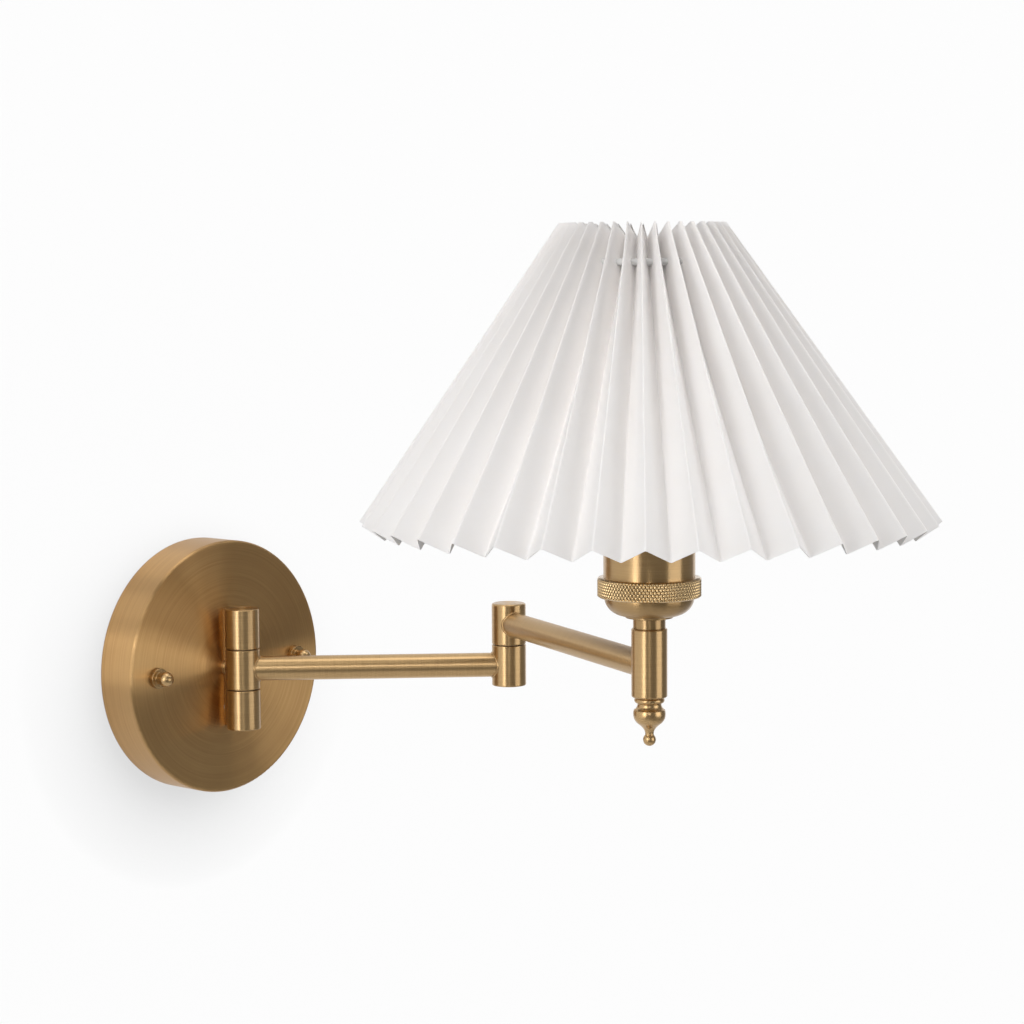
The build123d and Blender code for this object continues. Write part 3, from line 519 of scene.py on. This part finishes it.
def makeGatherCord():
    bpy.ops.mesh.primitive_torus_add(major_segments=cordLay["around"], minor_segments=cordLay["section"],
                                     major_radius=cordLay["radius"], minor_radius=cordLay["thick"],
                                     location=(stemAxis.x, stemAxis.y, cordLay["height"]))
    ring = bpy.context.object
    for v in ring.data.vertices:
        bearing = math.atan2(v.co.y, v.co.x)
        core = Vector((math.cos(bearing), math.sin(bearing), 0)) * cordLay["radius"]
        spoke = v.co - core
        roll = math.atan2(spoke.z, spoke.dot(core.normalized()))
        lobe = abs(math.sin(0.5 * cordLay["strands"] * (roll + cordLay["turns"] * bearing)))
        dent = cordLay["groove"] * (1 - lobe) ** cordLay["grooveEdge"]
        v.co = core + spoke * (1 - dent) + leanAt(cordLay["height"])
    return settle(ring, "gatherCord", smoothAngle=60)


gatherCord = makeGatherCord()
dress(gatherCord, cottonCord, "shade_group", "gather_cord")


# shade carrier: the wire frame, bent as far out of true as the shade that rests on it

def makeCarrier():
    frameMesh = nodes["shade_carrier"].data.copy()
    carrier = bpy.data.objects.new("shadeCarrier", frameMesh)
    bpy.context.scene.collection.objects.link(carrier)
    bpy.ops.object.select_all(action="DESELECT")
    carrier.select_set(True)
    bpy.context.view_layer.objects.active = carrier
    bpy.ops.object.mode_set(mode="EDIT")
    bpy.ops.mesh.select_all(action="SELECT")
    bpy.ops.mesh.remove_doubles(threshold=hair / 10)
    bpy.ops.object.mode_set(mode="OBJECT")
    for v in frameMesh.vertices:
        v.co += leanAt(v.co.z)
    return settle(carrier, "shadeCarrier", smoothAngle=35)


shadeCarrier = makeCarrier()
dress(shadeCarrier, whiteEnamel, "shade_group", "shade_carrier")
print("gather cord and carrier made")


# knurled ring: a lattice of rounded ridges pressed round a brass ring, with a pit in each diamond

knurl = {"diamonds": 86, "halfRows": 6, "across": 6, "down": 4, "depth": 0.8 * mm, "chamfer": 0.5 * mm,
         "bore": 19.47 * mm, "pitEdge": 0.7}


def makeKnurledRing():
    low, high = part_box("knurled_ring")
    radius = (high.x - low.x) / 2
    bandLow, bandHigh = low.z + knurl["chamfer"], high.z - knurl["chamfer"]
    middle = Vector((stemAxis.x, stemAxis.y, (bandLow + bandHigh) / 2))
    bpy.ops.mesh.primitive_cylinder_add(vertices=knurl["diamonds"] * knurl["across"], radius=radius,
                                        depth=bandHigh - bandLow, end_fill_type="NOTHING", location=middle)
    ring = bpy.context.object
    half = (bandHigh - bandLow) / 2
    pickEdges(ring, lambda a, b: abs(a.z - b.z) > half)
    bpy.ops.mesh.subdivide(number_cuts=knurl["halfRows"] * knurl["down"] - 1)
    # plain collars above and below, then the bore
    for end, sign in ((half, 1), (-half, -1)):
        pickEdges(ring, lambda a, b: max(abs(a.z - end), abs(b.z - end)) < hair)
        bpy.ops.mesh.extrude_region_move()
        bpy.ops.transform.translate(value=(0, 0, sign * knurl["chamfer"]))
        lipShare = (radius - knurl["chamfer"]) / radius
        bpy.ops.transform.resize(value=(lipShare, lipShare, 1), center_override=middle)
        bpy.ops.mesh.extrude_region_move()
        boreShare = knurl["bore"] / (radius - knurl["chamfer"])
        bpy.ops.transform.resize(value=(boreShare, boreShare, 1), center_override=middle)
    pickEdges(ring, lambda a, b: max(a.xy.length, b.xy.length) < knurl["bore"] + 5 * hair)
    bpy.ops.mesh.bridge_edge_loops()
    bpy.ops.object.mode_set(mode="OBJECT")
    # press the pits between the crossing ridges
    for v in ring.data.vertices:
        if v.co.xy.length < radius - hair or abs(v.co.z) > half - hair:
            continue
        turn = math.atan2(v.co.y, v.co.x) / math.tau * knurl["diamonds"]
        climb = (v.co.z / half + 1) * knurl["halfRows"] / 4
        pit = (math.sin(math.pi * (turn + climb)) * math.sin(math.pi * (turn - climb))) ** 2
        v.co.xy *= 1 - knurl["depth"] / radius * pit ** knurl["pitEdge"]
    bpy.ops.object.mode_set(mode="EDIT")
    bpy.ops.mesh.select_all(action="SELECT")
    bpy.ops.mesh.normals_make_consistent(inside=False)
    return settle(ring, "knurledRing", smoothAngle=60)


knurledRing = makeKnurledRing()
dress(knurledRing, brassOf["knurl"], "second_arm", "knurled_ring")
print("knurled ring:", len(knurledRing.data.polygons), "faces")


# brazed beads: a thin fillet of brass where each arm runs into the round posts at its ends

bead = {"radius": 0.42 * mm, "armOut": 0.12 * mm, "around": 96, "section": 12}


def makeBead(name, post, run, postNode, armNode):
    armLow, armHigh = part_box(armNode)
    postLow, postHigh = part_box(postNode)
    postRadius = (postHigh.x - postLow.x) / 2
    level = (armLow.z + armHigh.z) / 2
    bpy.ops.mesh.primitive_torus_add(major_segments=bead["around"], minor_segments=bead["section"],
                                     major_radius=(armHigh.z - armLow.z) / 2 + bead["armOut"],
                                     minor_radius=bead["radius"], location=(post.x, post.y, level),
                                     rotation=run.to_track_quat("Z", "Y").to_euler())
    ring = bpy.context.object
    bpy.ops.object.transform_apply(location=True, rotation=True, scale=True)
    # slide the flat ring along the arm until it lies in the saddle round the post
    for v in ring.data.vertices:
        aside = (v.co - post).dot(upright.cross(run))
        v.co += run * math.sqrt(postRadius ** 2 - aside ** 2)
    return settle(ring, name, smoothAngle=60)


beadPlan = {   # post, way along the arm, the post's solid, the arm's body
    "shoulderBead": (shoulderAxis, firstRun, "shoulder_knuckle", "first_arm"),
    "lowerElbowBead": (elbowAxis, -firstRun, "elbow_lower_knuckle", "first_arm"),
    "upperElbowBead": (elbowAxis, secondRun, "elbow_upper_knuckle", "second_arm"),
    "stemBead": (stemAxis, -secondRun, "stem", "second_arm"),
}
armBrass = {"first_arm": brassOf["firstArm"], "second_arm": brassOf["secondArm"]}
for name, (post, run, postNode, body) in beadPlan.items():
    dress(makeBead(name, post, run, postNode, body + "_tube"), armBrass[body], body, None)
print("beads:", len(beadPlan))


# lead inside the canopy, from the terminal block to the hollow hinge pin

leadLay = {
    "thick": 1.4 * mm,
    "points": [(-8.5, -7.5, 16.5), (-8.5, -8.5, -9), (0, -11, -19.2), (0, -20, -19.2),
               (0, -29.6, -19.2), (0, -31.6, -17), (0, -31.6, -4.9)],   # in mm
}


def makeCanopyLead():
    bpy.ops.curve.primitive_nurbs_path_add()
    lead = bpy.context.object
    curve = lead.data
    curve.splines.remove(curve.splines[0])
    line = curve.splines.new("NURBS")
    line.points.add(len(leadLay["points"]) - 1)
    for point, (x, y, z) in zip(line.points, leadLay["points"]):
        point.co = (x * mm, y * mm, z * mm, 1)
    line.order_u = 3
    line.use_endpoint_u = True
    curve.bevel_depth = leadLay["thick"]
    curve.bevel_resolution = 5
    curve.use_fill_caps = True
    bpy.ops.object.convert(target="MESH")
    lead = bpy.context.object
    bpy.ops.object.mode_set(mode="EDIT")
    bpy.ops.mesh.select_all(action="SELECT")
    bpy.ops.mesh.remove_doubles(threshold=hair / 10)
    bpy.ops.mesh.normals_make_consistent(inside=False)
    return settle(lead, "canopyLead", smoothAngle=50)


canopyLead = makeCanopyLead()
dress(canopyLead, leadJacket, "wall_mount", "lead_canopy")


# camera and studio

camera = {"place": (-0.832237, -0.915895, 0.191686), "yaw": -49.297, "pitch": -5.589, "roll": -0.358,
          "focal": 2582.393, "frame": 1024, "sensor": 36.0}   # focal and frame in pixels


def makeCamera():
    yaw, pitch, roll = (math.radians(camera[key]) for key in ("yaw", "pitch", "roll"))
    lens = bpy.data.cameras.new("photoCamera")
    lens.sensor_width = camera["sensor"]
    lens.lens = camera["focal"] / camera["frame"] * camera["sensor"]
    lens.clip_start = 0.01
    obj = bpy.data.objects.new("photoCamera", lens)
    bpy.context.scene.collection.objects.link(obj)
    ahead = Vector((-math.sin(yaw) * math.cos(pitch), math.cos(yaw) * math.cos(pitch), math.sin(pitch)))
    right = Vector((math.cos(yaw), math.sin(yaw), 0))
    top = right.cross(ahead)
    tiltedRight = right * math.cos(roll) + top * math.sin(roll)
    tiltedTop = top * math.cos(roll) - right * math.sin(roll)
    turn = Matrix((tiltedRight, tiltedTop, -ahead)).transposed().to_4x4()
    obj.matrix_world = Matrix.Translation(camera["place"]) @ turn
    bpy.context.scene.camera = obj


backdrop = {
    "behind": 0.5 * mm,
    "width": 8.0,
    "height": 5.0,
    "floor": -1.1,
    "depth": 1.3,
    "cove": 0.35,
    "coveSteps": 16,
    "paint": "#f4f4f4",
    "glow": "#fcfcfd",
    "nearGlow": 0.3,         # glow of the wall in the metal, from behind the lamp to far right of it
    "farGlow": 0.45,
    "glowRun": (0.0, 0.75),
    "floorGlow": 0.5,
    "floorGlint": 0.1,       # the metal shows a dimmer floor
    "shadowReach": 0.05,
    "shadowSamples": 8,
    "shadowLean": (0.3, -1.0, 0.9),   # where the light on the wall comes from
    "shadowDepth": 0.47,
}


def makeBackdrop():
    # a painted wall that runs down into a floor; it shows from its front only, and light passes it
    # the camera sees the white room through the wall, darkened by a painted soft shadow where something
    # stands close to it
    top = backdrop["floor"] + backdrop["height"]
    bpy.ops.mesh.primitive_plane_add(size=1, location=(0, backdrop["behind"], (backdrop["floor"] + top) / 2),
                                     rotation=(math.pi / 2, 0, 0))
    wall = bpy.context.object
    wall.scale = (backdrop["width"], backdrop["height"], 1)
    bpy.ops.object.transform_apply(location=True, rotation=True, scale=True)
    foot = backdrop["floor"] + 10 * mm
    pickEdges(wall, lambda a, b: max(a.z, b.z) < foot)
    bpy.ops.mesh.extrude_region_move()
    bpy.ops.transform.translate(value=(0, -backdrop["depth"], 0))
    pickEdges(wall, lambda a, b: max(a.z, b.z) < foot and min(a.y, b.y) > -backdrop["depth"] / 2)
    bpy.ops.mesh.bevel(offset=backdrop["cove"], segments=backdrop["coveSteps"])
    settle(wall, "wallAndFloor", smoothAngle=60)
    material, tree, shader = startMaterial("mattWallPaint")
    tree.nodes.remove(shader)
    ray = addNode(tree, "ShaderNodeLightPath")
    side = addNode(tree, "ShaderNodeNewGeometry")
    facing = addNode(tree, "ShaderNodeSeparateXYZ", None, {0: side.outputs["Normal"]})
    spot = addNode(tree, "ShaderNodeSeparateXYZ", None, {0: side.outputs["Position"]})
    wallShare = addNode(tree, "ShaderNodeMapRange",
                        {"From Min": backdrop["glowRun"][0], "From Max": backdrop["glowRun"][1],
                         "To Min": backdrop["nearGlow"], "To Max": backdrop["farGlow"]},
                        {"Value": spot.outputs["X"]})
    floorShare = addNode(tree, "ShaderNodeMapRange",
                         {"To Min": backdrop["floorGlow"], "To Max": backdrop["floorGlint"]},
                         {"Value": ray.outputs["Is Glossy Ray"]})
    share = addNode(tree, "ShaderNodeMapRange", None,
                    {"Value": facing.outputs["Z"], "To Min": wallShare.outputs[0],
                     "To Max": floorShare.outputs[0]})
    glow = addNode(tree, "ShaderNodeEmission", {"Color": hexColor(backdrop["glow"])},
                   {"Strength": share.outputs[0]})
    paint = addNode(tree, "ShaderNodeBsdfDiffuse", {"Color": hexColor(backdrop["paint"])})
    coat = addNode(tree, "ShaderNodeAddShader", None, {0: glow.outputs[0], 1: paint.outputs[0]})
    floorSeen = addNode(tree, "ShaderNodeMath", {"operation": "MULTIPLY", "use_clamp": True},
                        {0: ray.outputs["Is Camera Ray"], 1: facing.outputs["Z"]})
    mirrored = addNode(tree, "ShaderNodeMath", {"operation": "ADD", "use_clamp": True},
                       {0: ray.outputs["Is Glossy Ray"], 1: ray.outputs["Is Transmission Ray"]})
    seen = addNode(tree, "ShaderNodeMath", {"operation": "ADD", "use_clamp": True},
                   {0: floorSeen.outputs[0], 1: mirrored.outputs[0]})
    shown = addNode(tree, "ShaderNodeMath", {"operation": "SUBTRACT", "use_clamp": True},
                    {0: seen.outputs[0], 1: side.outputs["Backfacing"]})
    # painted shadow: occlusion near the wall darkens the white that the camera sees through it, leaned by a
    # fixed direction
    lean = Vector(backdrop["shadowLean"]).normalized()
    leanVector = addNode(tree, "ShaderNodeCombineXYZ", {"X": lean.x, "Y": lean.y, "Z": lean.z})
    near = addNode(tree, "ShaderNodeAmbientOcclusion",
                   {"samples": backdrop["shadowSamples"], "Distance": backdrop["shadowReach"]},
                   {"Normal": leanVector.outputs[0]})
    front = addNode(tree, "ShaderNodeMath", {"operation": "SUBTRACT", "use_clamp": True},
                    {0: ray.outputs["Is Camera Ray"], 1: side.outputs["Backfacing"]})
    shadow = addNode(tree, "ShaderNodeMath", {"operation": "SUBTRACT", 0: 1.0}, {1: near.outputs["AO"]})
    deep = addNode(tree, "ShaderNodeMath", {"operation": "MULTIPLY", 1: backdrop["shadowDepth"]},
                   {0: shadow.outputs[0]})
    drawn = addNode(tree, "ShaderNodeMath", {"operation": "MULTIPLY"},
                    {0: deep.outputs[0], 1: front.outputs[0]})
    level = addNode(tree, "ShaderNodeMath", {"operation": "SUBTRACT", 0: 1.0}, {1: drawn.outputs[0]})
    clear = addNode(tree, "ShaderNodeBsdfTransparent", None, {"Color": level.outputs[0]})
    mix = addNode(tree, "ShaderNodeMixShader", None,
                  {0: shown.outputs[0], 1: clear.outputs[0], 2: coat.outputs[0]})
    tree.links.new(mix.outputs[0], tree.nodes["Material Output"].inputs["Surface"])
    wall.data.materials.append(material)


room = {"front": 0.25, "wallSide": 0.22, "change": (-0.3, 0.1), "white": "#fdfdfd"}


def lightRoom():
    # a dim room in front, and behind the lamp the light that a white wall throws back
    # the camera sees white all round, and the metal sees white on the wall's side
    world = bpy.data.worlds.new("studioRoom")
    bpy.context.scene.world = world
    world.use_nodes = True
    tree = world.node_tree
    tree.nodes.clear()
    way = addNode(tree, "ShaderNodeTexCoord")
    towards = addNode(tree, "ShaderNodeVectorMath", {"operation": "DOT_PRODUCT", 1: offWall},
                      {0: way.outputs["Generated"]})
    level = addNode(tree, "ShaderNodeMapRange",
                    {"interpolation_type": "SMOOTHSTEP", "From Min": room["change"][0],
                     "From Max": room["change"][1], "To Min": room["wallSide"], "To Max": room["front"]},
                    {"Value": towards.outputs["Value"]})
    roomLight = addNode(tree, "ShaderNodeBackground", {"Color": (1, 1, 1, 1)}, {"Strength": level.outputs[0]})
    white = addNode(tree, "ShaderNodeBackground", {"Color": hexColor(room["white"]), "Strength": 1.0})
    ray = addNode(tree, "ShaderNodeLightPath")
    behind = addNode(tree, "ShaderNodeMath", {"operation": "LESS_THAN", 1: 0.0},
                     {0: towards.outputs["Value"]})
    mirrored = addNode(tree, "ShaderNodeMath", {"operation": "ADD", "use_clamp": True},
                       {0: ray.outputs["Is Glossy Ray"], 1: ray.outputs["Is Transmission Ray"]})
    seen = addNode(tree, "ShaderNodeMath", {"operation": "MULTIPLY_ADD", "use_clamp": True},
                   {0: mirrored.outputs[0], 1: behind.outputs[0], 2: ray.outputs["Is Camera Ray"]})
    mix = addNode(tree, "ShaderNodeMixShader", None,
                  {0: seen.outputs[0], 1: roomLight.outputs[0], 2: white.outputs[0]})
    addNode(tree, "ShaderNodeOutputWorld", None, {"Surface": mix.outputs[0]})


softboxFar = 1.5
softboxes = {   # bearing from off the wall towards +X, rise above level, width and height, watts
    "leftBox": {"bearing": -94, "rise": 4, "size": (1.2, 1.0), "power": 4.9},
    "leftStrip": {"bearing": -84, "rise": 4, "size": (0.34, 1.0), "power": 3.6},
    "leftSpot": {"bearing": -80, "rise": 22, "size": (0.5, 0.4), "power": 1.2},
    "leftHigh": {"bearing": -84, "rise": 45, "size": (0.9, 0.6), "power": 2.7},
    "frontSpot": {"bearing": -50, "rise": 12, "size": (0.32, 0.25), "power": 1.3},
    "frontHigh": {"bearing": -50, "rise": 45, "size": (0.9, 0.6), "power": 0.3},
    "keyBox": {"bearing": 14, "rise": 4, "size": (1.0, 1.0), "power": 6.1},
    "rightHigh": {"bearing": 38, "rise": 44, "size": (0.9, 0.6), "power": 3.1},
    "backBox": {"bearing": 180, "rise": 25, "size": (1.2, 1.0), "power": 4.0},
    "topBox": {"bearing": 0, "rise": 80, "size": (0.9, 0.9), "power": 5.6},
}


def hangSoftboxes():
    aim = (cadBox[0] + cadBox[1]) / 2
    for name, box in softboxes.items():
        lamp = bpy.data.lights.new(name, "AREA")
        lamp.shape = "RECTANGLE"
        lamp.size, lamp.size_y = box["size"]
        lamp.energy = box["power"]
        obj = bpy.data.objects.new(name, lamp)
        bpy.context.scene.collection.objects.link(obj)
        bearing, rise = math.radians(box["bearing"]), math.radians(box["rise"])
        level = math.cos(rise)
        way = Vector((math.sin(bearing) * level, -math.cos(bearing) * level, math.sin(rise)))
        turn = (-way).to_track_quat("-Z", "Y").to_matrix().to_4x4()
        obj.matrix_world = Matrix.Translation(aim + way * softboxFar) @ turn
        obj.visible_camera = False
        obj.visible_glossy = name != "backBox"   # the back light is for the paper alone


makeCamera()
makeBackdrop()
lightRoom()
hangSoftboxes()
bpy.context.scene.view_settings.view_transform = "Standard"
print("studio set")
